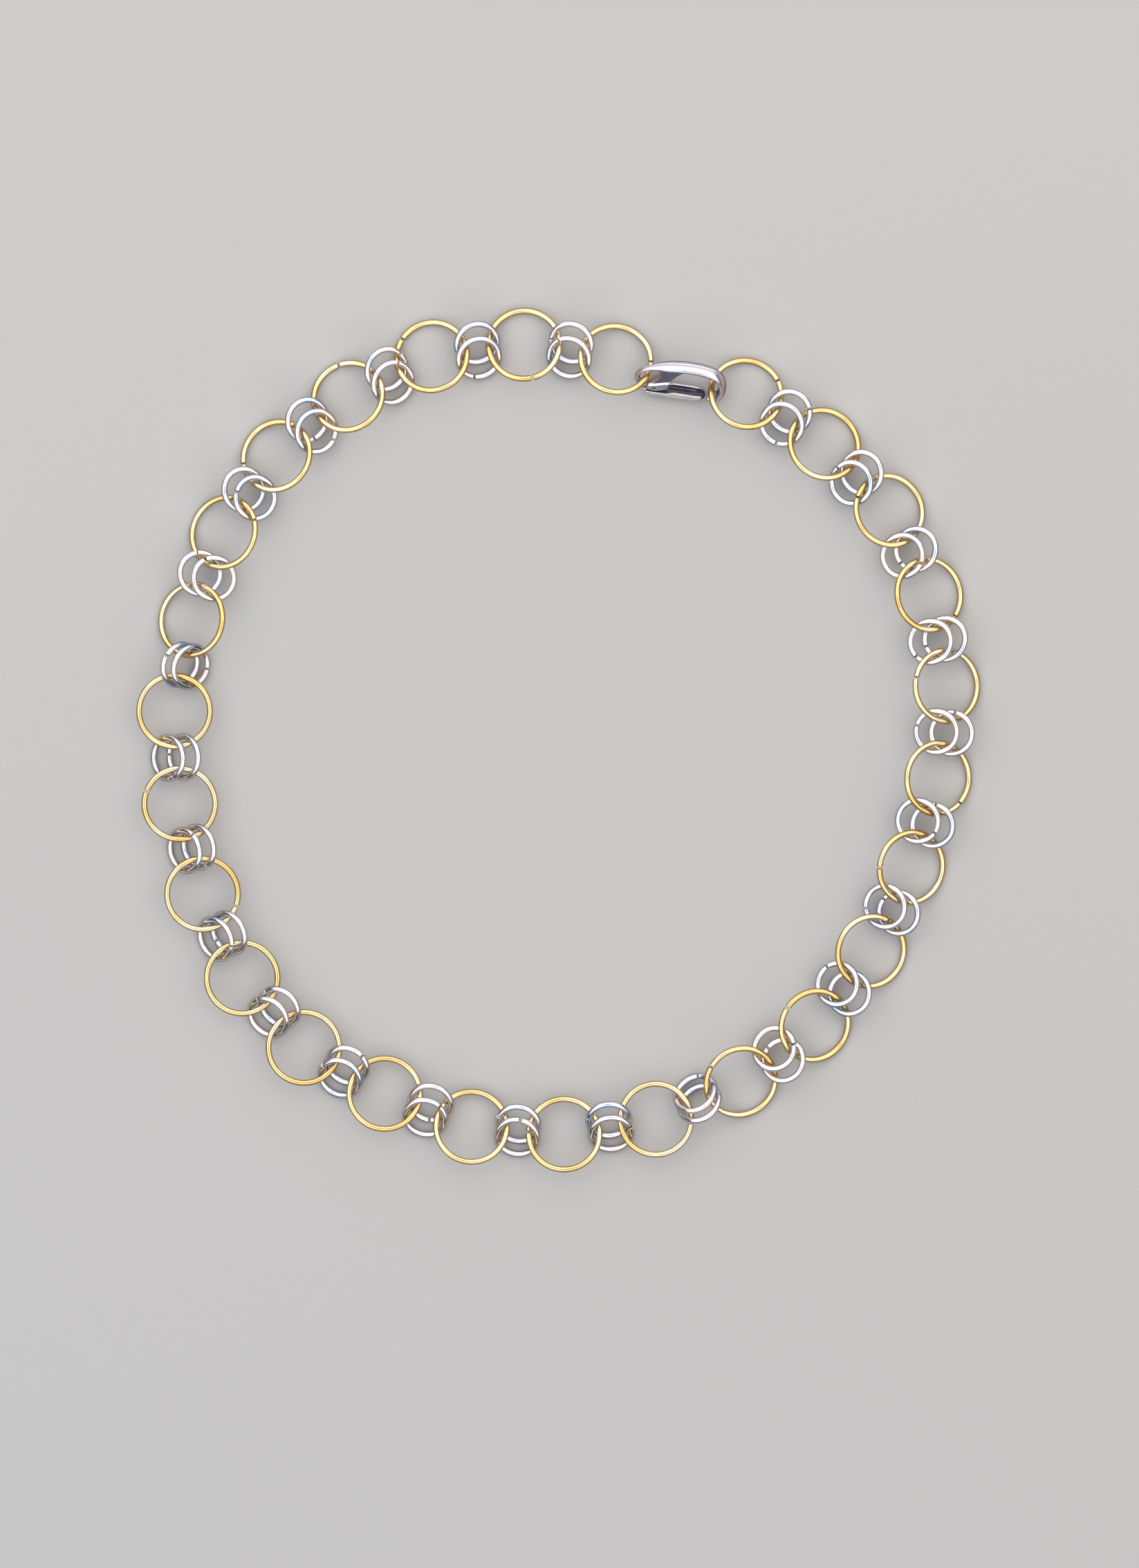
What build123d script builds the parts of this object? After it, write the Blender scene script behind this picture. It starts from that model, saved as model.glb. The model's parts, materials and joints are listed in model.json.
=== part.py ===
from build123d import *
from collections import namedtuple
import cmath
import math
import os

# Chainmail necklace laid flat in a closed loop, one ring lying on the next.
# Large open rings are joined by pairs of small open rings, and a lobster-claw clasp closes the loop.
# Millimetres, +Z up, the surface that it lies on is Z = 0.

# Wire and rings
WIRE = 1.02                 # round wire of every ring
GOLD_BORE = 11.1            # inside diameter of a large ring
SILVER_BORE = 6.06          # inside diameter of a small ring
SAW_CUT = 0.42              # gap that the saw left in every ring
LINK_CLEARANCE = 0.12       # air between two wires where one lies on the other
LINK_SLACK = 0.75           # share of the taut distance that two large rings are drawn apart
LEFT_PAIRS = 13             # pairs in the left-hand node of small rings

# Clasp, in its own plane: X from its eye to its hook, Y from its lever to its back, Z its thickness
CLASP_LENGTH = 15.8         # eye to hook
CLASP_HEIGHT = 7.8          # lever to back
CLASP_THICKNESS = 2.64      # across the back
BACK_DEPTH = 1.38           # of the back's section, in the plane
WEB_THICKNESS = 1.9         # of the web beside the eye
CLASP_LEAN = 50.0           # degrees that the back is raised off the surface

# Lever and its pin
LEVER_WIDTH = 2.56
LEVER_WALL = 0.34
TONGUE_THICKNESS = 1.0
TONGUE_RADIUS = 0.66
CHEEK_CLEARANCE = 0.1       # between the tongue and the slot that it turns in, each side
LEVER_OPEN = 20.0           # degrees that the lever swings in
PIN_DIAMETER = 0.6
PIN_RUNNING = 0.05          # radial clearance in the tongue
PIN_SEAT = 0.02             # radial clearance in the cheeks
PIN_PROUD = 0.06            # how far each end stands out of its cheek
PIN_CHAMFER = 0.05
EDGE_ROUND = 0.3            # on the edges of web and cheeks

# Centres of the large rings in plan, chosen by hand along the loop, anticlockwise from the ring at the eye
ROUTE = [(10, 64.5), (-5.5, 67), (-21.5, 65), (-36, 58), (-48, 48), (-57, 35), (-62.5, 20),
         (-65.5, 4), (-64.5, -12), (-60.5, -27.5), (-53.5, -42), (-43, -53.5), (-14, -67),
         (17, -65.5), (44, -49.5), (60.5, -22.5), (66.5, 9), (56.5, 39), (32.5, 58.5)]
ROUTE_STEPS = 60            # steps between two points of the route
ROUTE_SCALES = (0.5, 2.0)   # limits of the search for the route's size, and its number of halvings
ROUTE_HALVINGS = 50

# Large rings from the eye to the hook, in degrees. Lean is how far the ring is tilted, with its inner
# side high where it is positive. Turn swings the lean's axis off the line of the chain.
# Cut is where the saw cut faces in plan, counted from +X.
Large = namedtuple("Large", "lean turn cut")
LARGE_RINGS = [
    Large(20, -10, -5), Large(14, 10, -76), Large(16, 10, 150), Large(21, 5, 106),
    Large(24, 5, 194), Large(27, 5, 20), Large(28, 5, 67), Large(0, 0, -78),
    Large(-3, 0, 159), Large(-3, 0, -20), Large(-4, 0, -22), Large(-6, 0, -1),
    Large(-8, 0, 13), Large(-12, 0, 139), Large(-9, 0, 177), Large(0, 0, -6),
    Large(22, 5, 152), Large(22, 10, 147), Large(22, 6, 62), Large(26, 5, 180),
    Large(27, 5, -49), Large(27, 0, 166), Large(25, -5, -40), Large(22, -5, 159),
    Large(21, -5, -30), Large(19, 0, 22),
]

# Pairs of small rings between them. Lean has the outer side high where it is positive. Spread is the
# distance between the two rings of a pair and shift moves the pair outwards, both in wire diameters.
# The two cuts are as above, for the inner and the outer ring.
Pair = namedtuple("Pair", "lean spread shift inner_cut outer_cut")
PAIRS = [
    Pair(28, 2.5, 0.3, 119, 166), Pair(27, 2.5, 0.0, -106, -128), Pair(26, 2.5, 0.1, 77, 51),
    Pair(24, 2.5, 0.1, -25, -71), Pair(20, 2.4, 0.1, 164, 38), Pair(15, 2.5, 0.1, 116, 101),
    Pair(40, 1.8, -0.4, -5, 146), Pair(-43, 2.6, 0.2, 168, -68), Pair(-43, 2.4, -0.1, -62, 60),
    Pair(-43, 2.4, 0.0, 212, -20), Pair(-38, 2.5, -0.2, 127, 116), Pair(-35, 2.4, 0.2, 35, 141),
    Pair(-33, 2.6, 0.0, -94, 39), Pair(-32, 2.2, 0.0, 156, 80), Pair(-38, 2.3, 0.0, 172, 22),
    Pair(42, 1.8, -0.4, 78, 68), Pair(20, 2.5, 0.2, 11, 140), Pair(20, 2.6, 0.1, 118, -150),
    Pair(19, 2.5, 0.1, 185, 134), Pair(14, 2.6, 0.1, -34, 79), Pair(13, 2.6, 0.3, 160, 79),
    Pair(14, 2.5, 0.0, -132, -157), Pair(17, 2.5, 0.0, -22, -136), Pair(21, 2.5, -0.1, 129, -87),
    Pair(22, 2.5, 0.2, -105, 9),
]

# Sections of the casting, from the tip of the hook over the back and round the eye.
# Along is a share of the clasp's length, up of its height, depth of the back's depth and width of the
# thickness.
Section = namedtuple("Section", "along up depth width")
CASTING = [
    Section(0.320, -0.362, 0.44, 0.52), Section(0.340, -0.370, 0.62, 0.74),
    Section(0.383, -0.362, 0.74, 0.87), Section(0.430, -0.308, 0.83, 0.94),
    Section(0.457, -0.200, 0.90, 0.98), Section(0.467, -0.060, 0.93, 1.00),
    Section(0.460, 0.080, 0.94, 1.00), Section(0.436, 0.208, 0.96, 1.00),
    Section(0.389, 0.316, 0.98, 1.00), Section(0.307, 0.394, 1.00, 1.00),
    Section(0.194, 0.431, 1.00, 1.00), Section(0.067, 0.430, 1.00, 1.00),
    Section(-0.055, 0.403, 0.98, 1.00), Section(-0.165, 0.356, 0.90, 0.90),
    Section(-0.260, 0.298, 0.74, 0.66), Section(-0.337, 0.235, 0.62, 0.48),
    Section(-0.402, 0.147, 0.61, 0.43), Section(-0.446, 0.040, 0.62, 0.43),
    Section(-0.464, -0.080, 0.64, 0.46), Section(-0.449, -0.190, 0.64, 0.50),
    Section(-0.405, -0.252, 0.64, 0.56), Section(-0.345, -0.250, 0.65, 0.64),
]

# Corners of the web and of the cheeks, as shares of the clasp's length and height
Corner = namedtuple("Corner", "along up")
WEB_OUTLINE = [
    Corner(0.050, 0.470), Corner(0.085, 0.405), Corner(0.025, 0.335), Corner(-0.030, 0.215),
    Corner(-0.072, 0.095), Corner(-0.110, -0.040), Corner(-0.395, -0.215), Corner(-0.316, 0.060),
    Corner(-0.225, 0.320), Corner(-0.130, 0.370),
]
CHEEK_OUTLINE = [
    Corner(-0.095, 0.000), Corner(-0.111, -0.135), Corner(-0.130, -0.222), Corner(-0.165, -0.256),
    Corner(-0.240, -0.320), Corner(-0.345, -0.300), Corner(-0.360, -0.230), Corner(-0.330, -0.155),
    Corner(-0.242, -0.105), Corner(-0.168, -0.040),
]
EYE_CENTRE = Corner(-0.316, 0.060)
EYE_LONG = 4.6              # length and width of the oval eye, and how far it is turned
EYE_SHORT = 2.5
EYE_TURN = 44.0

# Pin and lever, as the same shares
PIN_AT = Corner(-0.266, -0.218)
LEVER_UNDERSIDE = [
    Corner(-0.383, -0.372), Corner(-0.342, -0.424), Corner(-0.253, -0.449), Corner(-0.095, -0.442),
    Corner(0.095, -0.430), Corner(0.215, -0.405), Corner(0.300, -0.345),
]
LEVER_RIM = [
    Corner(0.300, -0.290), Corner(0.250, -0.290), Corner(0.165, -0.290), Corner(-0.052, -0.295),
    Corner(-0.130, -0.353), Corner(-0.335, -0.353), Corner(-0.378, -0.336),
]
LEVER_BOW = 0.17            # where its sides begin to close in, and its tip, as shares of the length
LEVER_TIP = 0.301
LEVER_TAB = -0.345          # where the thumb tab begins, and its end
LEVER_END = -0.40
TAB_WIDTH = 1.5

# Where the wire of the first and of the last large ring passes through the clasp's plane
EYE_SEAT = Corner(-0.360, -0.060)
HOOK_SEAT = Corner(0.351, -0.205)
EYE_SWING = -14.5           # degrees in plan from the line between those two rings
HOOK_SWING = 11.5

GOLD_RADIUS = (GOLD_BORE + WIRE) / 2
SILVER_RADIUS = (SILVER_BORE + WIRE) / 2
PITCH = 2 * GOLD_RADIUS + LINK_SLACK * (2 * SILVER_RADIUS - 2 * WIRE)
UP = Vector(0, 0, 1)

Ring = namedtuple("Ring", "centre axis high normal")


def in_clasp(corner):
    """Point in the clasp's own plane."""
    return (corner.along * CLASP_LENGTH, corner.up * CLASP_HEIGHT)


def outline(corners):
    """Face with straight sides in the clasp's plane."""
    points = [in_clasp(corner) for corner in corners]
    return make_face(Polyline(*points, close=True))


def slab(face, thickness):
    """Plate of a face of the clasp's plane, half its thickness on each side."""
    return extrude(face, amount=thickness / 2, both=True)


def rounded(plate):
    """Plate with the edges of both its faces rounded."""
    return fillet(plate.edges().filter_by(Axis.Z, reverse=True), EDGE_ROUND)


def casting_tube():
    """Hook, back and rim of the eye: oval sections square to their path."""
    points = [Vector(*in_clasp(section)) for section in CASTING]
    faces = []
    for index, section in enumerate(CASTING):
        before = points[max(index - 1, 0)]
        after = points[min(index + 1, len(points) - 1)]
        plane = Plane(origin=points[index], x_dir=UP, z_dir=after - before)
        oval = Ellipse(section.width * CLASP_THICKNESS / 2, section.depth * BACK_DEPTH / 2)
        faces.append(plane * oval)
    return loft(faces)


def clasp_body():
    """One casting with a slot for the lever's tongue and a bore for its pin."""
    eye = Pos(*in_clasp(EYE_CENTRE)) * Rot(0, 0, EYE_TURN) * Ellipse(EYE_LONG / 2, EYE_SHORT / 2)
    web = rounded(slab(outline(WEB_OUTLINE), WEB_THICKNESS))
    cheeks = rounded(slab(outline(CHEEK_OUTLINE), CLASP_THICKNESS))
    blank = web + cheeks - slab(eye, 2 * CLASP_THICKNESS)
    pin = Pos(*in_clasp(PIN_AT))
    slot_radius = TONGUE_RADIUS + CHEEK_CLEARANCE
    stem = Pos(0, -CLASP_HEIGHT / 4) * Rectangle(2 * slot_radius, CLASP_HEIGHT / 2)
    slot = pin * (Circle(slot_radius) + stem + Rot(0, 0, LEVER_OPEN) * stem)
    bore = pin * Circle(PIN_DIAMETER / 2 + PIN_SEAT)
    casting = casting_tube() + blank
    casting -= slab(slot, TONGUE_THICKNESS + 2 * CHEEK_CLEARANCE)
    return casting - slab(bore, 2 * CLASP_THICKNESS)


def lever_side(rise, overshoot):
    """Side view of the lever, its underside raised and its rim lifted by the given amounts."""
    under = [Vector(*in_clasp(corner)) + Vector(0, rise) for corner in LEVER_UNDERSIDE]
    rim = [Vector(*in_clasp(corner)) + Vector(0, overshoot) for corner in LEVER_RIM]
    edge = Spline(*under)
    return make_face(edge + Polyline(under[-1], *rim, under[0]))


def lever_plan(inset):
    """Top view of the lever, X along it and Y across it: square sides, a round bow and a narrow tab."""
    half = LEVER_WIDTH / 2 - inset
    bow = LEVER_BOW * CLASP_LENGTH
    tip = LEVER_TIP * CLASP_LENGTH - inset
    tab = LEVER_TAB * CLASP_LENGTH + inset
    hull = Pos((bow + tab) / 2, 0) * Rectangle(bow - tab, 2 * half)
    nose = Pos(bow, 0) * (Ellipse(tip - bow, half) & Pos(tip / 2, 0) * Rectangle(tip, 2 * half))
    return hull + nose


def clasp_lever():
    """Trough with a round bow, a thumb tab at its other end and a tongue that turns on the pin."""
    reach = 2 * CLASP_HEIGHT
    to_plan = Plane(origin=(0, -CLASP_HEIGHT, 0), x_dir=(1, 0, 0), z_dir=(0, 1, 0))
    tab_end = LEVER_END * CLASP_LENGTH
    tab_start = LEVER_TAB * CLASP_LENGTH + LEVER_WALL
    tab = Pos((tab_end + tab_start) / 2, 0) * Rectangle(tab_start - tab_end, TAB_WIDTH)
    outside = extrude(to_plan * (lever_plan(0) + tab), amount=reach)
    inside = extrude(to_plan * lever_plan(LEVER_WALL), amount=reach)
    shell = slab(lever_side(0, 0), LEVER_WIDTH) & outside
    hollow = slab(lever_side(LEVER_WALL, CLASP_HEIGHT), LEVER_WIDTH) & inside
    pin = Pos(*in_clasp(PIN_AT))
    floor = min(corner.up for corner in LEVER_UNDERSIDE) * CLASP_HEIGHT + LEVER_WALL / 2
    stem_height = PIN_AT.up * CLASP_HEIGHT - floor
    stem = Pos(0, -stem_height / 2) * Rectangle(2 * TONGUE_RADIUS, stem_height)
    tongue = slab(pin * (Circle(TONGUE_RADIUS) + stem), TONGUE_THICKNESS)
    lever = shell - hollow + tongue
    return lever - slab(pin * Circle(PIN_DIAMETER / 2 + PIN_RUNNING), 2 * CLASP_THICKNESS)


def clasp_pin():
    """Rivet through both cheeks and the tongue."""
    pin = slab(Pos(*in_clasp(PIN_AT)) * Circle(PIN_DIAMETER / 2), CLASP_THICKNESS + 2 * PIN_PROUD)
    return chamfer(pin.edges().filter_by(GeomType.CIRCLE), PIN_CHAMFER)


def plan_offset(corner):
    """Place of a clasp point in plan, before the clasp is turned to its line, as a complex number."""
    return complex(corner.along * CLASP_LENGTH, corner.up * CLASP_HEIGHT * math.cos(math.radians(CLASP_LEAN)))


def ring_span():
    """Distance between the centres of the first and the last large ring."""
    swing = [cmath.rect(GOLD_RADIUS, math.radians(EYE_SWING)),
             -cmath.rect(GOLD_RADIUS, math.radians(HOOK_SWING))]
    across = (swing[1] - swing[0]).imag
    seats = abs(plan_offset(HOOK_SEAT) - plan_offset(EYE_SEAT))
    return math.sqrt(seats ** 2 - across ** 2) + swing[0].real - swing[1].real


def smooth_route():
    """Closed curve through the route's points, as complex numbers."""
    points = [complex(*point) for point in ROUTE]
    count = len(points)
    line = []
    for index in range(count):
        a, b, c, d = (points[(index + shift) % count] for shift in (-1, 0, 1, 2))
        for step in range(ROUTE_STEPS):
            t = step / ROUTE_STEPS
            cubic = 2 * b + (c - a) * t + (2 * a - 5 * b + 4 * c - d) * t ** 2
            line.append((cubic + (3 * b - a - 3 * c + d) * t ** 3) / 2)
    return line


def step_along(line, pitch):
    """Ring centres a chord apart along the line, from its first point."""
    centres = [line[0]]
    for start, end in zip(line, line[1:] + line[:1]):
        if len(centres) == len(LARGE_RINGS):
            break
        near, far = abs(start - centres[-1]), abs(end - centres[-1])
        if near < pitch <= far:
            centres.append(start + (end - start) * (pitch - near) / (far - near))
    return centres


def ring_places():
    """Centres of the large rings in plan, on the route drawn to the length that the chain has."""
    line = smooth_route()
    span = ring_span()
    low, high = ROUTE_SCALES
    for _ in range(ROUTE_HALVINGS):
        scale = (low + high) / 2
        centres = step_along(line, PITCH / scale)
        closed = len(centres) == len(LARGE_RINGS) and abs(centres[-1] - centres[0]) * scale >= span
        if closed:
            high = scale
        else:
            low = scale
    return [centre * scale for centre in step_along(line, PITCH / high)]


def flat(number):
    """Plan position as a vector."""
    return Vector(number.real, number.imag, 0)


def leaned(level, lean):
    """Level direction raised by an angle."""
    angle = math.radians(lean)
    return level * math.cos(angle) + UP * math.sin(angle)


def large_rings(places, clasp_seats):
    """Every large ring: its centre, the axis of its lean, its raised side and its normal."""
    rings = []
    for index, (place, row) in enumerate(zip(places, LARGE_RINGS)):
        after = places[(index + 1) % len(places)]
        tangent = flat(after - places[index - 1]).normalized()
        inward = UP.cross(tangent)
        turn = math.radians(row.turn)
        axis = tangent * math.cos(turn) + inward * math.sin(turn)
        high = leaned(UP.cross(axis), row.lean)
        normal = axis.cross(high)
        rest = GOLD_RADIUS * math.sin(math.radians(abs(row.lean))) + WIRE / 2
        beside = [PAIRS[pair] for pair in (index - 1, index) if 0 <= pair < len(PAIRS)]
        for pair in beside:
            rest = max(rest, SILVER_RADIUS * math.sin(math.radians(abs(pair.lean))) + WIRE / 2)
        if index in clasp_seats:
            seat = clasp_seats[index]
            reach = seat - flat(place) - UP * seat.Z
            rest = max(rest, seat.Z + reach.dot(normal) / normal.Z)
        rings.append(Ring(flat(place) + UP * rest, axis, high, normal))
    return rings


def rim_point(ring, outward, along, shift):
    """Point of a large ring's wire nearest to its neighbour, at a sideways shift from its centre."""
    reach = math.hypot(ring.axis.dot(outward), ring.high.dot(outward))
    phase = math.atan2(ring.high.dot(outward), ring.axis.dot(outward))
    base = math.acos(max(-1.0, min(1.0, shift / (GOLD_RADIUS * reach))))
    ends = []
    for angle in (phase + base, phase - base):
        ends.append(ring.axis * (GOLD_RADIUS * math.cos(angle)) + ring.high * (GOLD_RADIUS * math.sin(angle)))
    return ring.centre + max(ends, key=lambda end: end.dot(along))


def small_rings(first, second, row):
    """The two small rings that join two large ones, the inner ring first."""
    along = second.centre - first.centre
    along = Vector(along.X, along.Y, 0).normalized()
    outward = along.cross(UP)
    start = rim_point(first, outward, along, row.shift * WIRE)
    end = rim_point(second, outward, along * -1, row.shift * WIRE)
    axis = (end - start).normalized()
    raised = outward if row.lean > 0 else outward * -1
    side = (raised - axis * raised.dot(axis)).normalized()
    upright = axis.cross(side)
    upright = upright if upright.Z > 0 else upright * -1
    lean = math.radians(abs(row.lean))
    high = side * math.cos(lean) + upright * math.sin(lean)
    normal = axis.cross(high)
    spread = row.spread * WIRE
    stack = max(0.0, (WIRE + LINK_CLEARANCE - spread * math.sin(lean)) / math.cos(lean))
    rest = SILVER_RADIUS * math.sqrt(1 - normal.Z ** 2) + WIRE / 2 + stack / 2
    middle = (start + end) * 0.5
    middle = Vector(middle.X, middle.Y, max(middle.Z, rest))
    pair = []
    for side_sign in (-1, 1):
        lift = side_sign * stack / 2 if row.lean < 0 else -side_sign * stack / 2
        centre = middle + outward * (side_sign * spread / 2) + UP * lift
        pair.append(Ring(centre, axis, high, normal))
    return pair


def open_ring(ring, radius, cut):
    """Wire ring with a saw cut that faces the given direction in plan."""
    facing = flat(cmath.rect(1, math.radians(cut)))
    facing -= UP * (facing.dot(ring.normal) / ring.normal.Z)
    half_gap = math.degrees(SAW_CUT / 2 / radius)
    plane = Plane(origin=ring.centre, x_dir=facing, z_dir=ring.normal)
    wire = Torus(radius, WIRE / 2, major_angle=360 - 2 * half_gap)
    return plane * Rot(0, 0, half_gap) * wire


def clasp_place(places, pieces):
    """Plane of the clasp, on the line between the two end rings and resting on the surface."""
    line = (places[-1] - places[0]) / abs(places[-1] - places[0])
    eye = places[0] + line * cmath.rect(GOLD_RADIUS, math.radians(EYE_SWING))
    hook = places[-1] - line * cmath.rect(GOLD_RADIUS, math.radians(HOOK_SWING))
    turned = (hook - eye) / (plan_offset(HOOK_SEAT) - plan_offset(EYE_SEAT))
    along = flat(turned / abs(turned))
    thickness = along.cross(leaned(UP.cross(along), CLASP_LEAN))
    middle = flat((eye + hook) / 2 - turned * (plan_offset(HOOK_SEAT) + plan_offset(EYE_SEAT)) / 2)
    rough = Plane(origin=middle, x_dir=along, z_dir=thickness)
    lowest = min((rough * piece).bounding_box().min.Z for piece in pieces.values())
    return Plane(origin=middle - UP * lowest, x_dir=along, z_dir=thickness)


ring_centres = ring_places()
clasp_pieces = {"clasp_body": clasp_body(), "clasp_lever": clasp_lever(), "clasp_pin": clasp_pin()}
clasp_plane = clasp_place(ring_centres, clasp_pieces)
end_seats = {
    0: clasp_plane.from_local_coords(Vector(*in_clasp(EYE_SEAT))),
    len(LARGE_RINGS) - 1: clasp_plane.from_local_coords(Vector(*in_clasp(HOOK_SEAT))),
}
gold = large_rings(ring_centres, end_seats)
silver = [small_rings(gold[index], gold[index + 1], row) for index, row in enumerate(PAIRS)]

pieces = {}
for number, (ring, row) in enumerate(zip(gold, LARGE_RINGS), start=1):
    pieces[f"gold_ring_{number:02d}"] = open_ring(ring, GOLD_RADIUS, row.cut)

small = []
for pair, row in zip(silver, PAIRS):
    for ring, cut in zip(pair, (row.inner_cut, row.outer_cut)):
        small.append(open_ring(ring, SILVER_RADIUS, cut))
pieces["silver_rings_left"] = Compound(small[:2 * LEFT_PAIRS])
pieces["silver_rings_right"] = Compound(small[2 * LEFT_PAIRS:])
for name, piece in clasp_pieces.items():
    pieces[name] = clasp_plane * piece

# The origin is below the middle of the loop, on the surface
box = Compound(pieces.values()).bounding_box()
centring = Vector(-box.center().X, -box.center().Y, -box.min.Z)

os.makedirs("parts", exist_ok=True)
for name, piece in pieces.items():
    placed = Pos(centring) * piece
    placed.label = name
    export_step(placed, os.path.join("parts", name + ".step"))

pin_point = clasp_plane.from_local_coords(Vector(*in_clasp(PIN_AT))) + centring
print("pin at", pin_point, "axis", clasp_plane.z_dir)
print("moved by", centring, "overall", box.size)
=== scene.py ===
"""Looks of a chainmail necklace that lies flat in a closed loop.

Large gold-coloured jump rings are joined by pairs of small silver-coloured ones, and a lobster-claw
clasp closes the loop. Lengths are in metres, except where a field says millimetres. The places of the
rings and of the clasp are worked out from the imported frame.
"""

import json
import logging
import math
from dataclasses import dataclass, field
from enum import Enum
from typing import Any

import bmesh
import bpy
import numpy as np
from mathutils import Matrix, Vector


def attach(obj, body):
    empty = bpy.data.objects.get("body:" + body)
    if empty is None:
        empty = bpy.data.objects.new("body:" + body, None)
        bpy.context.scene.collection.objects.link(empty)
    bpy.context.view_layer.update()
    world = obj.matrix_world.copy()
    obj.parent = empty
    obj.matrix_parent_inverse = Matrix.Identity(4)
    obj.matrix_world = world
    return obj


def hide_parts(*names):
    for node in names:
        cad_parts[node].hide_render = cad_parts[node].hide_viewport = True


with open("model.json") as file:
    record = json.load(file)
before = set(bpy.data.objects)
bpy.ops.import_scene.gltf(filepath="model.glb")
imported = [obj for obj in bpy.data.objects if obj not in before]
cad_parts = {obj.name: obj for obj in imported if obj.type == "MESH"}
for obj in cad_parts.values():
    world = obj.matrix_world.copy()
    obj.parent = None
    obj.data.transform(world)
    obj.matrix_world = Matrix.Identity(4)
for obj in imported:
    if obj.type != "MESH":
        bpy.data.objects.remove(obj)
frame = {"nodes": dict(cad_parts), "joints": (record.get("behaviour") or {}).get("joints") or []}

LOG = logging.getLogger("necklace")

MM = 0.001
NECKLACE = "necklace"
LEVER = "lever"
WIRE_MAP = "straight_wire"      # vector attribute: the place on the wire as if it were straight
SECTION = "section"             # vector attribute: the place in the wire's section
ALONG = "along"                 # float attribute: the length along the wire
PAINTED_SHADE = "painted_shade"               # float attribute: how far a point has the finish of a hollow
TURN = "turn"                   # float attribute: how much painted shade a point gets
SHARP_EDGE = math.radians(60)   # bend of a CAD edge that is the rim of a sawn end
WELD = 0.001 * MM               # distance at which two points of a CAD mesh are one
QUARTER_TURN = math.tau / 4
MATRIX_SIZE = 4                 # rows of a matrix that turns or scales and can also move
RISING = (0.0, 1.0)             # a share at the two ends of a range that it grows over
FALLING = (1.0, 0.0)            # and at those of a range that it fades over

# The sRGB curve: its highest channel value, its straight part and the power that follows that part
SRGB_FULL = 255
SRGB_STRAIGHT = 0.04045
SRGB_SLOPE = 12.92
SRGB_OFFSET = 0.055
SRGB_POWER = 2.4

# Numbers of a Mix node's colour sockets: its two inputs and its result
MIX_UNDER = 6
MIX_OVER = 7
MIX_RESULT = 2

# Along a ring's middle line
FIRST_INNER = 1.0               # number of the first point past the burr
LAST_INNER = 2.0                # how far the last point before the other burr is from their count
BACKWARDS = -2.0                # factor that turns the step at the first end backwards
HALF_RISE = 0.5                 # share of the rise on each side of the ring's plane

# Values of a noise between which the patches and smudges of a finish begin and are full, the octaves of
# each noise, and how far the cool patches' noise is moved away from the warm ones'
WARM_RANGE = (0.38, 0.62)
COOL_RANGE = (0.45, 0.68)
SMUDGE_RANGE = (0.3, 0.7)
PATCH_DETAIL = 2.0
SMUDGE_DETAIL = 4.0
GRAIN_DETAIL = 3.0
RIPPLE_DETAIL = 1.0
COOL_SHIFT = (0.31, 0.17, 0.23)


class Slot(Enum):
    """Material slots of the record."""

    GOLD = "gold_wire"
    SILVER = "silver_wire"
    CLASP = "clasp_metal"
    LEVER = "lever_metal"
    PIN = "pin_metal"


def linear(code: str) -> tuple[float, float, float, float]:
    """Linear colour of an sRGB hex code.

    Args:
        code: Six hex digits after a hash sign.

    Returns:
        Red, green, blue and an alpha of one.
    """
    channels = [int(code[start:start + 2], 16) / SRGB_FULL for start in (1, 3, 5)]
    red, green, blue = (
        share / SRGB_SLOPE if share <= SRGB_STRAIGHT
        else ((share + SRGB_OFFSET) / (1 + SRGB_OFFSET)) ** SRGB_POWER
        for share in channels
    )
    return red, green, blue, 1.0


def add_node(
    tree: bpy.types.NodeTree, kind: str, settings: dict[str, Any], inputs: dict[Any, Any]
) -> bpy.types.Node:
    """Adds a node with its settings and links.

    Args:
        tree: The tree that gets the node.
        kind: The node's type.
        settings: Values of the node's own properties.
        inputs: For a socket's name or number, the socket that feeds it or its plain value.

    Returns:
        The new node.
    """
    node = tree.nodes.new(kind)
    for name, value in settings.items():
        setattr(node, name, value)
    for key, value in inputs.items():
        if isinstance(value, bpy.types.NodeSocket):
            tree.links.new(value, node.inputs[key])
        else:
            node.inputs[key].default_value = value
    return node


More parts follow.
